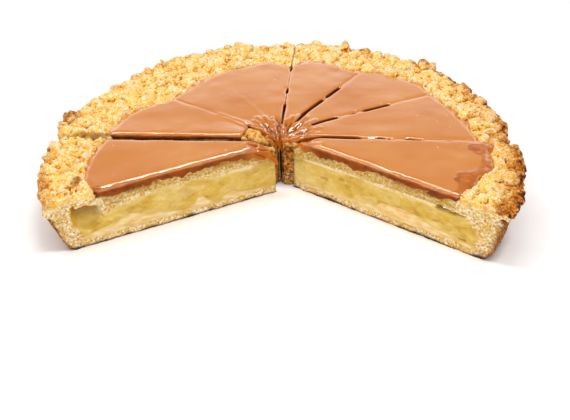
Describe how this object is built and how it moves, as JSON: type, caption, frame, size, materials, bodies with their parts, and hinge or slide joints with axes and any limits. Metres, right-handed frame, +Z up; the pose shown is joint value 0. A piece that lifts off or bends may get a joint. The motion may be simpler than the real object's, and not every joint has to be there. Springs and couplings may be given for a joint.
{
  "type": "apple pie",
  "caption": "Round apple crumble pie in a shortcrust shell, topped with smooth caramel, cut into wedge portions with part of the pie taken; stands on its flat underside.",
  "frame": {"origin": "middle of the bounding box at the height of the surface that the pie stands on", "axes": "+Z up; +X along the longest side, to the right seen from the open side; -Y towards the open side where portions are gone"},
  "size_m": [0.2707, 0.2128, 0.0401],
  "materials": {
    "crust": "matte golden-brown baked shortcrust, porous where it is cut",
    "custard": "satin, pale set custard under the apple",
    "apple": "moist satin, cooked apple",
    "crumble": "matte baked crumble, toasted at its peaks",
    "caramel": "glossy set caramel"
  },
  "bodies": {
    "root": {"slice_1_crust": "crust", "slice_1_custard": "custard", "slice_1_apple": "apple", "slice_1_crumble": "crumble", "slice_1_caramel": "caramel", "slice_2_crust": "crust", "slice_2_custard": "custard", "slice_2_apple": "apple", "slice_2_crumble": "crumble", "slice_2_caramel": "caramel", "slice_3_crust": "crust", "slice_3_custard": "custard", "slice_3_apple": "apple", "slice_3_crumble": "crumble", "slice_3_caramel": "caramel", "slice_4_crust": "crust", "slice_4_custard": "custard", "slice_4_apple": "apple", "slice_4_crumble": "crumble", "slice_4_caramel": "caramel", "slice_5_crust": "crust", "slice_5_custard": "custard", "slice_5_apple": "apple", "slice_5_crumble": "crumble", "slice_5_caramel": "caramel", "slice_6_crust": "crust", "slice_6_custard": "custard", "slice_6_apple": "apple", "slice_6_crumble": "crumble", "slice_6_caramel": "caramel", "slice_7_crust": "crust", "slice_7_custard": "custard", "slice_7_apple": "apple", "slice_7_crumble": "crumble", "slice_7_caramel": "caramel", "slice_8_crust": "crust", "slice_8_custard": "custard", "slice_8_apple": "apple", "slice_8_crumble": "crumble", "slice_8_caramel": "caramel"}
  },
  "joints": []
}
